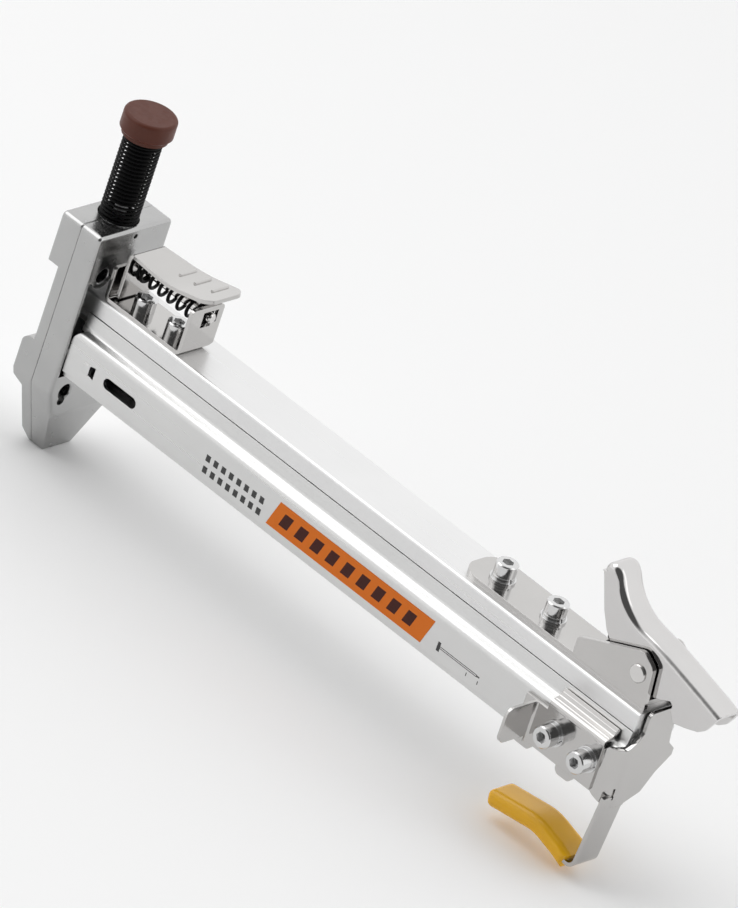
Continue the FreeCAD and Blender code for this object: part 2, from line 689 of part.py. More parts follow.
# The lever's side view: the line of its back, what closes it below, and its cheeks.
LEVER_BACK = [(253.4, 107.6), (254.5, 110.9), (257.4, 112.2), (260.9, 110.6), (263.9, 106.2),
              (267.9, 101.9), (274.9, 98.1), (284.5, 96.3), (295.6, 94.0), (307.4, 91.1),
              (321.0, 87.6), (333.4, 84.1)]
BELOW_LEVER = [(333.4, 60.0), (245.0, 60.0), (245.0, 105.0)]
LEVER_CHEEK = [(321.0, 88.0), (318.5, 82.6), (316.8, 79.4), (314.1, 77.2), (308.5, 75.2),
               (302.7, 73.7), (300.5, 77.2), (300.3, 79.6), (298.8, 80.4), (294.8, 78.4),
               (289.5, 76.8), (279.5, 77.0), (268.0, 84.0), (263.4, 88.2), (259.6, 94.5),
               (256.5, 102.0), (254.2, 107.4), (249.0, 109.0), (249.0, 125.0), (330.0, 125.0)]


def upright(points):
    return [Vector(x, 0, z) for x, z in points]


def prism_across(edges, half_width):
    """The prism of a closed side view, from y = -half_width to y = half_width."""
    face = Part.Face(Part.Wire(edges))
    face.translate(Vector(0, -half_width, 0))
    return face.extrude(Vector(0, 2 * half_width, 0))


def lines_through(points):
    return [Part.makeLine(start, end) for start, end in zip(points, points[1:])]


def lever_blank(back, half_width, radius):
    """All that lies under the lever's curved back, with the back's long edges rounded."""
    curve = Part.BSplineCurve()
    curve.interpolate(upright(back))
    below = lines_through(upright(back[-1:] + BELOW_LEVER + back[:1]))
    solid = prism_across([curve.toShape()] + below, half_width)
    backs = [e for e in solid.Edges if isinstance(e.Curve, Part.BSplineCurve)
             and abs(abs(e.CenterOfMass.y) - half_width) < 0.01]
    return solid.makeFillet(radius, backs)


def release_lever():
    """A pressed U-section lever, hollow between its cheeks, with a hook under its tail."""
    half, wall = d.lever_half_width.value, d.lever_wall.value
    side_view = upright(LEVER_CHEEK + LEVER_CHEEK[:1])
    outer = lever_blank(LEVER_BACK, half, 3.0).common(
        prism_across(lines_through(side_view), half + 1))
    inside = [(x - 0.75 * wall, z - 0.9 * wall) for x, z in LEVER_BACK]
    shell = outer.cut(lever_blank(inside, half - wall, 1.7))
    seat = Part.makeBox(9.0, 2 * half - 1, 1.6, Vector(260.0, 0.5 - half, 90.0))
    hole = Part.makeCylinder(d.pin_radius.value + 0.06, 3 * half,
                             Vector(d.pivot_x.value, -1.5 * half, d.pivot_z.value),
                             Vector(0, 1, 0))
    thing = doc.addObject("Part::Feature", "release_lever")
    thing.Shape = shell.fuse(seat.common(outer)).cut(hole).removeSplitter()
    keep(thing, "release_lever")


def lever():
    lever_bracket()
    lever_pivot_pin()
    release_lever()
    floor = d.rail_top.value + d.sheet.value
    coil("lever_spring", 2.8, 0.5, 1.9, 90.0 - floor - 1.1, (264.4, 0, floor + 0.55))
    spots = [(x, y, d.rail_top + d.sheet) for x, y in LEVER_SCREWS]
    five_set("lever_bracket", spots, UP, FIVE_LENGTH, (0, 0, 1))


# ---------------------------------------------------------------- sliding channel

def magazine_channel():
    """A U channel with a narrower foot band, whose shoulders curl up and over the rail."""
    body = new_body("magazine_channel")
    wall = d.channel_wall
    outside, ledge, band = d.channel_half_width, d.ledge_half_width, d.band_half_width
    half = [(band, d.channel_low), (band, d.band_high), (outside, d.band_high),
            (outside, d.shoulder_height), (ledge + 0.9, d.shoulder_height + 1.4),
            (ledge, d.lip_top), (d.lip_gap, d.lip_top), (d.lip_gap, d.lip_low),
            (ledge - 0.8, d.lip_low), (ledge - 0.5, d.shoulder_height + 0.4),
            (outside - wall, d.shoulder_height - 1.3), (outside - wall, d.band_high + wall),
            (band - wall, d.channel_low + wall)]
    add(body, "YZ", d.channel_start, d.channel_end,
        half + [(-y, z) for y, z in reversed(half)])
    round_off(body, 2.6, lambda e: runs_along(e, "X") and at(e, z=d.shoulder_height)
              and abs(e.CenterOfMass.y) > 17)
    round_off(body, 2.0, lambda e: runs_along(e, "X") and at(e, z=d.shoulder_height + 1.4))
    near = -outside
    cut(body, "XZ", near - 1, near + 3, edges=slot_edges(31.6, 43.9, 47.3, 2.25))
    cut(body, "XZ", near - 1, near + 3, [(22.1, 45.2), (24.4, 44.6), (24.4, 49.6), (22.1, 49.0)])
    add(body, "XZ", near - 0.6, near, rectangle(18.9, 22.1, 45.2, 49.0))
    start, top = d.channel_start, d.shoulder_height
    for low, high in ((near - 1, -ledge - 1.1), (ledge + 1.1, outside + 1)):
        cut(body, "XZ", low, high, [
            (start - 1, top - 3.6), (start, top - 3.6), (start + 0.5, top - 1.6),
            (start + 1.7, top), (start + 3.8, top + 1.2), (start + 3.8, top + 3),
            (start - 1, top + 3)])
    cut(body, "XY", d.channel_low - 1, d.rail_top, rectangle(284.0, d.channel_end + 1, -8.0, 18.5))
    cut(body, "XY", d.channel_low - 1, d.rail_top, [
        (287.0, near - 1), (293.0, near - 1), (293.0, -12.4), (291.7, -14.5), (290.4, -16.0),
        (288.8, -17.0), (287.0, near)])
    screws = [((x, d.clamp_screw_z), d.five_hole) for x in (d.clamp_screw_a, d.clamp_screw_b)]
    cut(body, "XZ", near - 1, near + 3, circles=screws)


LABEL = [(116.9, 42.0), (197.0, 42.0), (200.5, 53.2), (120.4, 53.2)]     # x and z of its corners
LABEL_THICKNESS = 0.15


def side_label():
    """A thin slanted sticker on the near wall."""
    body = new_body("side_label")
    face = -d.channel_half_width
    add(body, "XZ", face - LABEL_THICKNESS, face, LABEL)


def nail_track():
    """A narrow U that keeps the strip of nails upright under the rail."""
    body = new_body("nail_track")
    outside, gap = d.track_half_width, d.track_gap
    half = [(outside, d.track_low), (outside, d.track_high), (gap, d.track_high),
            (gap, d.track_floor)]
    add(body, "YZ", d.track_start, d.track_end, half + [(-y, z) for y, z in reversed(half)])


def nail_pusher():
    """A forked shoe that carries its spring roll on an axle."""
    body = new_body("nail_pusher")
    half, inside = d.pusher_half_width, d.pusher_half_width - 0.6
    add(body, "XY", 41.3, 57.6, [(8, -half), (40, -half), (40, -inside), (13, -inside),
                                 (13, inside), (40, inside), (40, half), (8, half)])
    round_off(body, 3.0, lambda e: runs_along(e, "Y") and at(e, x=8, z=57.6))
    cut(body, "XZ", -half - 1, half + 1, circles=[((d.pusher_axle_x, d.pusher_axle_z), d.pusher_hole)])
    roll = ring(d.roll_radius, d.roll_bore, d.roll_width)
    place(roll, d.pusher_axle_x, d.roll_width * 0.5, d.pusher_axle_z, rotation=AGAINST_Y)
    keep(roll, "pusher_spring_roll")
    axle_half = d.pusher_half_width - 0.1
    axle = cylinder(d.pusher_axle_radius, axle_half * 2)
    place(axle, d.pusher_axle_x, axle_half, d.pusher_axle_z, rotation=AGAINST_Y)
    keep(axle, "pusher_axle")


# ---------------------------------------------------------------- clamp, end bracket, arm

ARM_PATH = [(293.85, 38.0, 0), (290.9, 4.4, 3.4), (282.0, 8.6, 10.0), (270.5, 12.0, 20.0),
            (252.0, 10.0, 0)]
GRIP_PATH = [(287.2, 6.1, 0), (282.0, 8.2, 10.0), (270.5, 11.4, 20.0), (246.9, 8.2, 0)]
GRIP_THICKNESS, GRIP_ROUND = 7.0, 2.6
WING_FOOT, TAB_TOP = 33.0, 72.2                  # lowest and highest edges of the pressing
LOBES = [(278.4, 270.2, 34.4), (257.5, 248.5, 34.8)]     # x of both sides, z of the end
LOBE_ROOT, LOBE_ROUND = 38.6, 2.3
ABOVE_WING = [(240, 54.5), (286.6, 54.5), (289.1, 57.2), (289.1, 80), (240, 80)]
PLATE_NEAR_SIDE = [(-21, 57.2), (-14, 57.6), (-10.5, 60.5), (-8, 64), (-8, 77), (-21, 77)]
PLATE_FAR_SIDE = [(7.3, 77), (7.3, 62), (8.4, 56), (12.3, 52.6), (12.3, 49.8), (6, 44), (1, 36.6),
                  (-6.8, 33.6), (-6.8, 32), (16, 32), (16, 77)]


def end_bracket():
    """One pressing: a wing on the near wall, an end plate with a tab, and a hooked arm."""
    body = new_body("end_bracket")
    thick = d.thin_sheet.value
    middle = d.wing_face.value - thick / 2
    plate = d.end_plate.value + thick / 2
    wrap = [(248.5, -middle, 0), (plate, -middle, 6.5), (plate, 13.0, 0)]
    add(body, "XY", WING_FOOT, TAB_TOP, edges=strip_outline(wrap, thick))
    wing = (-20, -16)
    cut(body, "XZ", *wing, ABOVE_WING)
    outline, corners = [(240, 30), (295, 30), (295, 32.9), (285.1, LOBE_ROOT)], []
    for right, left, tip in LOBES:
        outline += [(right, LOBE_ROOT), (right, tip), (left, tip), (left, LOBE_ROOT)]
        corners += [(right, tip), (left, tip)]
    cut(body, "XZ", *wing, outline + [(240, LOBE_ROOT)])
    round_off(body, LOBE_ROUND,
              lambda e: runs_along(e, "Y") and any(at(e, x=x, z=z) for x, z in corners))
    face = (286.6, 296.1)
    cut(body, "YZ", *face, PLATE_NEAR_SIDE)
    cut(body, "YZ", *face, PLATE_FAR_SIDE)
    round_off(body, 2.4, lambda e: runs_along(e, "X") and at(e, z=TAB_TOP)
              and abs(e.CenterOfMass.y) > 6)
    add(body, "XZ", -d.wing_face, d.arm_width - d.wing_face,
        edges=strip_outline(ARM_PATH, thick))
    screws = [((x, d.clamp_screw_z), d.five_hole) for x in (d.clamp_screw_a, d.clamp_screw_b)]
    cut(body, "XZ", *wing, circles=screws)
    cut(body, "YZ", *face, rectangle(-14.4, -13.6, 36.6, 41.2))


def grip_sleeve():
    """A soft dipped sleeve over the hooked end of the arm."""
    body = new_body("grip_sleeve")
    low, high = -d.wing_face - 0.8, d.arm_width - d.wing_face + 0.8
    add(body, "XZ", low, high, edges=strip_outline(GRIP_PATH, GRIP_THICKNESS))
    middle = (low.value + high.value) / 2
    round_off(body, GRIP_ROUND, lambda e: abs(e.CenterOfMass.y - middle) > 6 or
              (runs_along(e, "Y") and e.CenterOfMass.x < 252))
    cut(body, "XZ", -d.wing_face, d.arm_width - d.wing_face,
        edges=strip_outline(ARM_PATH, d.thin_sheet.value))


EAR_END = -35.3
FLANGE_RIBS = [(-19.5, 57.0), (-17.4, 59.15), (-14.5, 61.2)]     # y and z of the pressed ribs
FLANGE_RIB_RADIUS = 0.55


def clamp_plate():
    """A plate bolted over the wing, with a bent-out ear and a flange over the shoulder."""
    body = new_body("clamp_plate")
    thick = 1.2
    middle = -d.clamp_face.value + thick / 2
    bend_x = d.clamp_start.value + thick / 2
    bent = [(d.clamp_end.value, middle, 0), (bend_x, middle, 1.8), (bend_x, EAR_END, 0)]
    add(body, "XY", d.clamp_low, d.clamp_high, edges=strip_outline(bent, thick))
    cut(body, "XY", d.clamp_low - 1, d.clamp_low + 2,
        rectangle(d.clamp_start - 1, d.clamp_start + 3, EAR_END - 1, -21.5))
    round_off(body, 3.5, lambda e: runs_along(e, "X") and at(e, y=EAR_END))
    flange = [(middle, 52.0, 0), (middle, 58.3, 1.4), (-15.3, 59.7, 1.4), (-13.5, 62.6, 0)]
    start, end = as_size(260.0), d.clamp_end
    add(body, "YZ", start, end, edges=strip_outline(flange, thick))
    for spot in FLANGE_RIBS:
        add(body, "YZ", start + 0.4, end - 0.4, circles=[(spot, FLANGE_RIB_RADIUS)])
    screws = [((x, d.clamp_screw_z), d.five_hole) for x in (d.clamp_screw_a, d.clamp_screw_b)]
    cut(body, "XZ", -21, -18, circles=screws)


def clamp():
    end_bracket()
    grip_sleeve()
    clamp_plate()
    wall = d.channel_half_width - d.channel_wall
    spots = [(x, -d.clamp_face, d.clamp_screw_z) for x in (d.clamp_screw_a, d.clamp_screw_b)]
    five_set("clamp", spots, AGAINST_Y, 8.6, (0, -1, 0))
    nuts = []
    for x in (d.clamp_screw_a, d.clamp_screw_b):
        nut = combine("Cut", hexagon(d.nut_radius, d.nut_height),
                      cylinder(d.five_hole, d.nut_height))
        place(nut, x, -wall, d.clamp_screw_z, rotation=ALONG_Y)
        nuts.append(nut)
    group("clamp_nuts", nuts)


# ---------------------------------------------------------------- the whole tool

head_front_cover()
head_rear_housing()
three_screws("head_screws", HEAD_SCREWS, d.screw_seat, 11.5, ALONG_X)
three_screws("rail_screws", RAIL_SCREWS, d.port_floor, 10.5, AGAINST_X)
nose_guide_bush()
plunger()
upper_rail()
latch()
lever()
magazine_channel()
side_label()
nail_track()
nail_pusher()
clamp()
doc.recompute()

for thing in doc.Objects:
    if "Invalid" in thing.State or "Error" in thing.State:
        raise RuntimeError(f"{thing.Label} failed: {thing.State}")
for part in parts:
    if part.Shape.isNull() or not part.Shape.isValid():
        raise RuntimeError(f"{part.Label} has no valid shape")
os.makedirs("parts", exist_ok=True)
for part in parts:
    part.Shape.exportStep(f"parts/{part.Label}.step")
    box = part.Shape.BoundBox
    print(f"{part.Label:32s} {len(part.Shape.Solids):2d} solids {part.Shape.Volume:9.1f} mm3"
          f"  x {box.XMin:.1f}..{box.XMax:.1f}  y {box.YMin:.1f}..{box.YMax:.1f}"
          f"  z {box.ZMin:.1f}..{box.ZMax:.1f}")
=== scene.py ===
import json
import math

import bpy
from mathutils import Matrix, Vector


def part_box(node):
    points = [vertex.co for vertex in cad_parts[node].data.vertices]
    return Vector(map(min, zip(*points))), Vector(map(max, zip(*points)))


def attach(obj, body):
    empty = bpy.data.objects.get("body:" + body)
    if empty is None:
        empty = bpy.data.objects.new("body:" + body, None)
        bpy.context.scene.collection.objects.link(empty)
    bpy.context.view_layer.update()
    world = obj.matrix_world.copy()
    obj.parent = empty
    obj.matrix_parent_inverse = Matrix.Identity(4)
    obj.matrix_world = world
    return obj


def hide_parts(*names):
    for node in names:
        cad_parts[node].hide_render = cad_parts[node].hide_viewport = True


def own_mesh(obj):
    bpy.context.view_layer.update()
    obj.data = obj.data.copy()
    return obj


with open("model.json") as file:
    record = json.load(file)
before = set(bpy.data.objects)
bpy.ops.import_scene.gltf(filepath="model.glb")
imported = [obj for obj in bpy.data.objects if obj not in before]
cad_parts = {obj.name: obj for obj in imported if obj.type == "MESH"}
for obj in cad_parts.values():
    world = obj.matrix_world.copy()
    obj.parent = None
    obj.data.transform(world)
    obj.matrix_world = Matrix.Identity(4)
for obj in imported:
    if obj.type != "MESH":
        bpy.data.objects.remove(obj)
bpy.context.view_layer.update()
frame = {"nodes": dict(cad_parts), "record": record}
NODES = frame["nodes"]
RECORD = frame["record"]
MM = 0.001
MIDDLE = Vector((0.14, 0.0, 0.05))      # about the middle of the tool, in metres


# ---------------------------------------------------------------- studio

CAMERA_LENS, CAMERA_SENSOR = 685.3, 36.0                    # millimetres
CAMERA_RIGHT, CAMERA_UP, CAMERA_BACK = 0.00718, 0.02685, 6.197      # metres from MIDDLE

DARK_BEGINS, DARK_IS_FULL = 0.60, 0.79      # cosine of the angle to the way that is dark
DARK_LEVEL = 0.09
WORLD_STRENGTH = 1.12

FLOOR_REACH, FLOOR_LEVEL, FLOOR_PAINT = 14.0, -0.0002, 0.91


def make_camera():
    """A long lens well in front of the tool, rolled so that the rail runs down to the right."""
    right = Vector((0.6885, 0.6684, 0.2814))
    up = Vector((-0.5303, 0.1994, 0.8240))
    back = Vector((0.4947, -0.7166, 0.4918))
    data = bpy.data.cameras.new("camera")
    data.lens = CAMERA_LENS
    data.sensor_width = CAMERA_SENSOR
    data.clip_start = 0.5
    data.clip_end = 40.0
    camera = bpy.data.objects.new("camera", data)
    turn = Matrix((right, up, back)).transposed().to_4x4()
    place = MIDDLE + right * CAMERA_RIGHT + up * CAMERA_UP + back * CAMERA_BACK
    camera.matrix_world = Matrix.Translation(place) @ turn
    bpy.context.scene.collection.objects.link(camera)
    bpy.context.scene.camera = camera
    return back


def make_world(dark_way):
    """A bright tent all round, with one dark opening towards dark_way."""
    world = bpy.data.worlds.new("studio")
    bpy.context.scene.world = world
    world.use_nodes = True
    tree = world.node_tree
    tree.nodes.clear()
    out = tree.nodes.new("ShaderNodeOutputWorld")
    light = tree.nodes.new("ShaderNodeBackground")
    tree.links.new(light.outputs[0], out.inputs[0])
    where = tree.nodes.new("ShaderNodeTexCoord")
    dot = tree.nodes.new("ShaderNodeVectorMath")
    dot.operation = "DOT_PRODUCT"
    tree.links.new(where.outputs["Generated"], dot.inputs[0])
    dot.inputs[1].default_value = dark_way.normalized()
    ramp = tree.nodes.new("ShaderNodeValToRGB")
    ramp.color_ramp.elements[0].position = DARK_BEGINS
    ramp.color_ramp.elements[0].color = (1, 1, 1, 1)
    ramp.color_ramp.elements[1].position = DARK_IS_FULL
    ramp.color_ramp.elements[1].color = (DARK_LEVEL, DARK_LEVEL, DARK_LEVEL, 1)
    tree.links.new(dot.outputs["Value"], ramp.inputs[0])
    tree.links.new(ramp.outputs[0], light.inputs["Color"])
    light.inputs["Strength"].default_value = WORLD_STRENGTH


def make_light(name, way, distance, size, power):
    """A rectangular soft box that looks at the middle of the tool."""
    data = bpy.data.lights.new(name, "AREA")
    data.shape = "RECTANGLE"
    data.size, data.size_y = size
    data.energy = power
    light = bpy.data.objects.new(name, data)
    way = Vector(way).normalized()
    light.location = MIDDLE + way * distance
    light.rotation_mode = "QUATERNION"
    light.rotation_quaternion = way.to_track_quat("Z", "Y")
    bpy.context.scene.collection.objects.link(light)


def make_floor():
    mesh = bpy.data.meshes.new("floor")
    side, level = FLOOR_REACH, FLOOR_LEVEL
    mesh.from_pydata([(-side, -side, level), (side, -side, level), (side, side, level),
                      (-side, side, level)], [], [(0, 1, 2, 3)])
    floor = bpy.data.objects.new("floor", mesh)
    bpy.context.scene.collection.objects.link(floor)
    paint = bpy.data.materials.new("pale_floor")
    paint.use_nodes = True
    shader = paint.node_tree.nodes["Principled BSDF"]
    shader.inputs["Base Color"].default_value = (FLOOR_PAINT, FLOOR_PAINT, FLOOR_PAINT, 1)
    shader.inputs["Roughness"].default_value = 0.9
    mesh.materials.append(paint)


# ---------------------------------------------------------------- materials

class Finish:
    """A node material with one Principled shader, and short calls for the nodes that feed it."""

    def __init__(self, name, color, roughness, metallic=0.0):
        self.material = bpy.data.materials.new(name)
        self.material.use_nodes = True
        self.nodes = self.material.node_tree.nodes
        self.links = self.material.node_tree.links
        self.shader = self.nodes["Principled BSDF"]
        self.shader.inputs["Base Color"].default_value = (*color, 1)
        self.shader.inputs["Roughness"].default_value = roughness
        self.shader.inputs["Metallic"].default_value = metallic
        self.place = self.nodes.new("ShaderNodeTexCoord").outputs["Object"]

    def scaled(self, x, y, z):
        node = self.nodes.new("ShaderNodeMapping")
        self.links.new(self.place, node.inputs["Vector"])
        node.inputs["Scale"].default_value = (x, y, z)
        return node.outputs[0]

    def noise(self, scale, detail=3.0, stretch=None, distortion=0.0):
        """Noise with features about 1 / scale metres across, drawn out by stretch where given."""
        node = self.nodes.new("ShaderNodeTexNoise")
        where = self.scaled(*stretch) if stretch else self.place
        self.links.new(where, node.inputs["Vector"])
        node.inputs["Scale"].default_value = scale
        node.inputs["Detail"].default_value = detail
        node.inputs["Distortion"].default_value = distortion
        return node.outputs["Fac"]

    def remap(self, value, low, high, to_low, to_high):
        node = self.nodes.new("ShaderNodeMapRange")
        self.links.new(value, node.inputs["Value"])
        names = ("From Min", "From Max", "To Min", "To Max")
        for name, number in zip(names, (low, high, to_low, to_high)):
            node.inputs[name].default_value = number
        return node.outputs["Result"]

    def along(self, axis):
        """One coordinate of the surface point, in metres in the tool's frame."""
        node = self.nodes.new("ShaderNodeSeparateXYZ")
        self.links.new(self.place, node.inputs[0])
        return node.outputs[axis]

    def math(self, kind, first, second=0.0):
        node = self.nodes.new("ShaderNodeMath")
        node.operation = kind
        for socket, value in zip(node.inputs, (first, second)):
            if isinstance(value, bpy.types.NodeSocket):
                self.links.new(value, socket)
            else:
                socket.default_value = value
        return node.outputs[0]

    def within(self, value, low, high):
        """1 where low < value < high, else 0."""
        above, below = self.math("GREATER_THAN", value, low), self.math("LESS_THAN", value, high)
        return self.math("MULTIPLY", above, below)

    def area(self, x, z, x_low, x_high, z_low, z_high):
        """1 inside a rectangle of x and z, else 0."""
        return self.math("MULTIPLY", self.within(x, x_low, x_high), self.within(z, z_low, z_high))

    def dashes(self, value, start, period, part):
        """1 over the given part of every period, counted from start."""
        turns = self.math("DIVIDE", self.math("SUBTRACT", value, start), period)
        return self.math("LESS_THAN", self.math("FRACT", turns), part)

    def tint(self, value, first, second):
        """A colour between first, a colour or a socket, and second as value goes from 0 to 1."""
        node = self.nodes.new("ShaderNodeMix")
        node.data_type = "RGBA"
        self.links.new(value, node.inputs["Factor"])
        if isinstance(first, bpy.types.NodeSocket):
            self.links.new(first, node.inputs["A"])
        else:
            node.inputs["A"].default_value = (*first, 1)
        node.inputs["B"].default_value = (*second, 1)
        return node.outputs["Result"]

    def bumps(self, *layers, bevel=0.0):
        """Stacks (height, depth in metres) layers on the normal, over edges rounded by bevel metres."""
        normal = None
        if bevel:
            edge = self.nodes.new("ShaderNodeBevel")
            edge.samples = 6
            edge.inputs["Radius"].default_value = bevel
            normal = edge.outputs[0]
        for height, depth in layers:
            node = self.nodes.new("ShaderNodeBump")
            node.inputs["Strength"].default_value = 1.0
            node.inputs["Distance"].default_value = depth
            self.links.new(height, node.inputs["Height"])
            if normal is not None:
                self.links.new(normal, node.inputs["Normal"])
            normal = node.outputs[0]
        self.links.new(normal, self.shader.inputs["Normal"])

    def set(self, name, value):
        if isinstance(value, bpy.types.NodeSocket):
            self.links.new(value, self.shader.inputs[name])
        else:
            self.shader.inputs[name].default_value = value


def shade(color, factor):
    return tuple(c * factor for c in color)


def cast_metal():
    """Die-cast zinc-aluminium, tumbled to a satin skin."""
    f = Finish("head_casting", (0.45, 0.45, 0.45), 0.22, 1.0)
    f.set("Base Color", f.tint(f.noise(70, 4), (0.41, 0.41, 0.41), (0.49, 0.49, 0.485)))
    f.set("Roughness", f.remap(f.noise(240, 4), 0.3, 0.7, 0.18, 0.28))
    f.bumps((f.noise(1500, 4), 0.000022), (f.noise(180, 2), 0.00006), bevel=0.0004)
    return f.material


SHEET_EDGE = 0.00025        # how far the shading rounds the edges of rails and sheet
LENGTHWISE, UPRIGHT = (6, 900, 900), (900, 900, 6)      # the way that brushed lines run


def brushed(name, color, roughness, way):
    """Metal with fine lines, and the colour that it has where nothing is printed on it."""
    f = Finish(name, color, roughness, 1.0)
    lines = f.noise(1.0, 5, stretch=way)
    f.set("Roughness", f.remap(lines, 0.25, 0.75, roughness * 0.8, roughness * 1.25))
    f.bumps((lines, 0.0000015), bevel=SHEET_EDGE)
    return f, f.tint(f.noise(30, 3), shade(color, 0.95), shade(color, 1.04))


def brushed_metal(name, color, roughness, way=LENGTHWISE):
    f, bare = brushed(name, color, roughness, way)
    f.set("Base Color", bare)
    return f.material


# What is printed on the channel's near wall, in metres: each box is x from, x to, z from, z to.
NAIL_OUTLINE = [(0.2045, 0.2060, 0.0436, 0.0474), (0.2060, 0.2250, 0.0450, 0.0460),
                (0.2250, 0.2262, 0.0452, 0.0458)]
LENGTH_TICKS = [(0.2200, 0.2204, 0.0425, 0.0440), (0.2258, 0.2262, 0.0425, 0.0440)]
INSIDE_NAIL = (0.2060, 0.2246, 0.0453, 0.0457)
DASH_ROWS = [(0.0830, 0.1140, 0.0473, 0.0500), (0.0830, 0.1140, 0.0425, 0.0452)]
DASH_PERIOD, DASH_PART = 0.0040, 0.55
NEAR_WALL = -0.0171
INK = (0.03, 0.03, 0.03)


def printed_channel(name, color, roughness):
    """The brushed channel, with a nail drawn in ink and two rows of plain dashes."""
    f, bare = brushed(name, color, roughness, LENGTHWISE)
    x, y, z = f.along("X"), f.along("Y"), f.along("Z")
    marks = [f.area(x, z, *box) for box in NAIL_OUTLINE + LENGTH_TICKS]
    for box in DASH_ROWS:
        dashes = f.dashes(x, box[0], DASH_PERIOD, DASH_PART)
        marks.append(f.math("MULTIPLY", f.area(x, z, *box), dashes))
    ink = marks[0]
    for mark in marks[1:]:
        ink = f.math("MAXIMUM", ink, mark)
    ink = f.math("SUBTRACT", ink, f.area(x, z, *INSIDE_NAIL))
    ink = f.math("MULTIPLY", ink, f.math("LESS_THAN", y, NEAR_WALL))
    f.set("Base Color", f.tint(ink, bare, INK))
    f.set("Metallic", f.math("SUBTRACT", 1.0, ink))
    return f.material


def plated_metal(name, color, roughness, ripple=0.000012):
    """Bright plating over pressed steel: slow ripples, and fine scratches that catch the light."""
    f = Finish(name, color, roughness, 1.0)
    scratches = f.noise(1.0, 4, stretch=(900, 120, 900), distortion=0.6)
    f.set("Base Color", f.tint(f.noise(45, 3), shade(color, 0.93), shade(color, 1.05)))
    f.set("Roughness", f.remap(scratches, 0.3, 0.75, roughness * 0.8, roughness * 1.4))
    f.bumps((f.noise(110, 1), ripple), (f.noise(1400, 3), 0.0000015), bevel=SHEET_EDGE)
    return f.material


def dark_metal(name, color, roughness):
    """Blackened steel with a faint oily sheen."""
    f = Finish(name, color, roughness)
    f.set("Base Color", f.tint(f.noise(300, 3), shade(color, 0.7), shade(color, 1.5)))
    f.set("Roughness", f.remap(f.noise(900, 3), 0.3, 0.7, roughness * 0.8, roughness * 1.3))
    f.set("Specular IOR Level", 0.10)
    f.bumps((f.noise(1500, 3), 0.000004), bevel=0.0001)
    return f.material


def moulded_cap():
    f = Finish("brown_cap", (0.095, 0.027, 0.016), 0.42)
    f.set("Base Color", f.tint(f.noise(220, 4), (0.080, 0.021, 0.012), (0.112, 0.033, 0.020)))
    f.set("Specular IOR Level", 0.24)
    f.set("Roughness", f.remap(f.noise(500, 3), 0.3, 0.7, 0.36, 0.50))
    f.bumps((f.noise(900, 3), 0.000010))
    return f.material


def dipped_vinyl():
    f = Finish("yellow_vinyl", (0.82, 0.43, 0.004), 0.26)
    f.set("Base Color", f.tint(f.noise(60, 3), (0.78, 0.395, 0.003), (0.86, 0.465, 0.006)))
    f.set("Specular IOR Level", 0.3)
    f.set("Coat Weight", 0.25)
    f.set("Coat Roughness", 0.10)
    f.bumps((f.noise(110, 2), 0.00010))
    return f.material


LABEL_BLOCKS = (0.1215, 0.1925, 0.0448, 0.0504)     # along the slant from, to, z from, z to
LABEL_FOOT, LABEL_SLANT = 0.042, 0.3125             # z of its lower edge, and its lean along X
BLOCK_PERIOD, BLOCK_PART = 0.0080, 0.55
BLOCK_INK = (0.055, 0.010, 0.006)


def label_film():
    """Orange film with a plain row of slanted dark blocks."""
    f = Finish("orange_label", (0.73, 0.168, 0.010), 0.45)
    x, z = f.along("X"), f.along("Z")
    lean = f.math("MULTIPLY", f.math("SUBTRACT", z, LABEL_FOOT), LABEL_SLANT)
    across = f.math("SUBTRACT", x, lean)
    blocks = f.math("MULTIPLY", f.area(across, z, *LABEL_BLOCKS),
                    f.dashes(across, LABEL_BLOCKS[0], BLOCK_PERIOD, BLOCK_PART))
    film = f.tint(f.noise(40, 3), (0.70, 0.158, 0.008), (0.76, 0.180, 0.012))
    f.set("Base Color", f.tint(blocks, film, BLOCK_INK))
    f.set("Specular IOR Level", 0.2)
    f.set("Roughness", f.remap(f.noise(1200, 2), 0.3, 0.7, 0.40, 0.52))
    f.bumps((f.noise(2500, 2), 0.000002))
    return f.material


def rubber():
    f = Finish("rubber", (0.02, 0.02, 0.02), 0.8)
    f.set("Base Color", f.tint(f.noise(400, 3), (0.014, 0.014, 0.014), (0.03, 0.03, 0.03)))
    f.bumps((f.noise(1200, 3), 0.00004))
    return f.material


MATERIALS = {
    "head_casting": cast_metal(),
    "black_steel": dark_metal("black_steel", (0.004, 0.004, 0.0042), 0.60),
    "hardened_steel": brushed_metal("hardened_steel", (0.50, 0.50, 0.51), 0.30, UPRIGHT),
    "brown_cap": moulded_cap(),
    "rubber": rubber(),
    "spring_black": dark_metal("spring_black", (0.0022, 0.0022, 0.0024), 0.42),
    "rail_aluminium": brushed_metal("rail_aluminium", (0.76, 0.76, 0.76), 0.32),
    "nickel_sheet": plated_metal("nickel_sheet", (0.54, 0.53, 0.52), 0.13, 0.00004),
    "nickel_rod": plated_metal("nickel_rod", (0.66, 0.65, 0.64), 0.12),
    "bright_fasteners": plated_metal("bright_fasteners", (0.66, 0.66, 0.66), 0.13, 0.000004),
    "polished_lever": plated_metal("polished_lever", (0.62, 0.61, 0.605), 0.09, 0.00008),
    "channel_steel": printed_channel("channel_steel", (0.68, 0.68, 0.675), 0.32),
    "orange_label": label_film(),
    "track_steel": brushed_metal("track_steel", (0.40, 0.40, 0.41), 0.38),
    "yellow_vinyl": dipped_vinyl(),
}


def finish_nodes():
    """Gives every CAD node the material of its slot."""
    for part in RECORD["subparts"]:
        node = NODES[part["node"]]
        for slot in node.material_slots:
            slot.material = MATERIALS[part["material_slot"]]


# ---------------------------------------------------------------- springs

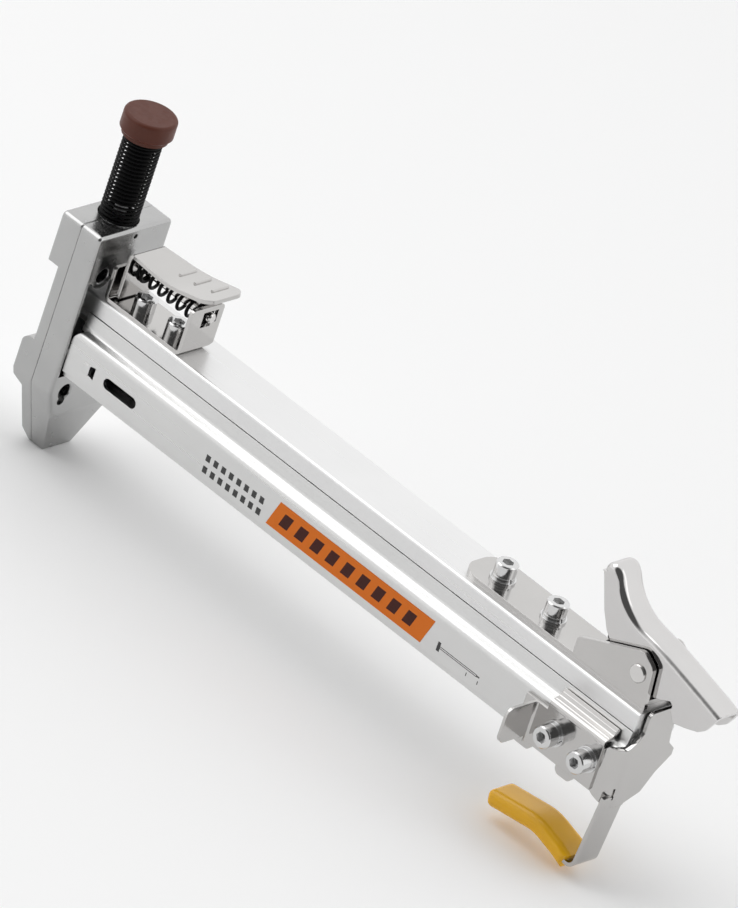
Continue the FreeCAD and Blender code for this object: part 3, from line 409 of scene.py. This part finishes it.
CLOSED_TURNS = 1.6      # at each end of a spring
TURN_STEPS, WIRE_SIDES = 28, 10


def add_piece(name, points, faces, slot, body):
    mesh = bpy.data.meshes.new(name)
    mesh.from_pydata(points, [], faces)
    mesh.update()
    mesh.shade_smooth()
    piece = bpy.data.objects.new(name, mesh)
    bpy.context.scene.collection.objects.link(piece)
    mesh.materials.append(MATERIALS[slot])
    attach(piece, body)
    return piece


def coil_points(radius, wire, length, turns):
    """Points (x, y, along) of a wire that starts and ends in closed turns."""
    open_turns = turns - 2 * CLOSED_TURNS
    open_pitch = (length - 2 * wire - 2 * CLOSED_TURNS * 2 * wire) / open_turns
    points = []
    along = wire
    for i in range(int(turns * TURN_STEPS) + 1):
        turn = i / TURN_STEPS
        angle = 2 * math.pi * turn
        points.append((radius * math.cos(angle), radius * math.sin(angle), along))
        closed = turn < CLOSED_TURNS or turn >= turns - CLOSED_TURNS
        along += (2 * wire if closed else open_pitch) / TURN_STEPS
    return points


def tube(points, wire):
    """A closed round tube that follows points, each ring square to the path."""
    verts, faces = [], []
    sides = WIRE_SIDES
    path = [Vector(p) for p in points]
    for i, here in enumerate(path):
        before, after = path[max(i - 1, 0)], path[min(i + 1, len(path) - 1)]
        way = (after - before).normalized()
        out = Vector((here.x, here.y, 0)).normalized()
        side = way.cross(out).normalized()
        out = side.cross(way)
        for k in range(sides):
            a = 2 * math.pi * k / sides
            verts.append(here + (out * math.cos(a) + side * math.sin(a)) * wire)
    for i in range(len(path) - 1):
        for k in range(sides):
            a, b = i * sides + k, i * sides + (k + 1) % sides
            faces.append((a, b, b + sides, a + sides))
    faces.append(tuple(reversed(range(sides))))
    faces.append(tuple(range(len(verts) - sides, len(verts))))
    return verts, faces


def make_spring(name, node, radius, wire, turns, lengthwise=False):
    """A wound wire on the frame that stands for the CAD node: upright, or else along the rail."""
    low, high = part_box(node)
    middle = (low + high) / 2
    length = (high - low)[0 if lengthwise else 2]
    points, faces = tube(coil_points(radius, wire, length, turns), wire)
    if lengthwise:
        points = [Vector((low.x + p.z, middle.y + p.y, middle.z + p.x)) for p in points]
    else:
        points = [Vector((middle.x + p.x, middle.y + p.y, low.z + p.z)) for p in points]
    piece = add_piece(name, points, faces, "spring_black", "frame")
    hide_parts(node)
    return piece


def make_springs():
    """The three springs, each a wound wire on the frame in place of its CAD node."""
    striker = make_spring("return_spring_wire", "return_spring", 7.05 * MM, 0.5 * MM, 31)
    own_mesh(striker)
    latch = make_spring("latch_spring_wire", "latch_spring", 4.6 * MM, 0.7 * MM, 9, lengthwise=True)
    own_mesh(latch)
    lever = make_spring("lever_spring_wire", "lever_spring", 2.8 * MM, 0.5 * MM, 8)
    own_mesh(lever)


# ---------------------------------------------------------------- making

bpy.context.scene.view_settings.view_transform = "Standard"
to_camera = make_camera()
make_world(to_camera)
make_light("key", way=(-0.55, -0.25, 0.80), distance=1.6, size=(1.2, 1.2), power=5.5)
make_light("fill", way=(0.75, 0.35, 0.55), distance=2.0, size=(0.8, 1.6), power=2)
make_floor()
finish_nodes()
make_springs()
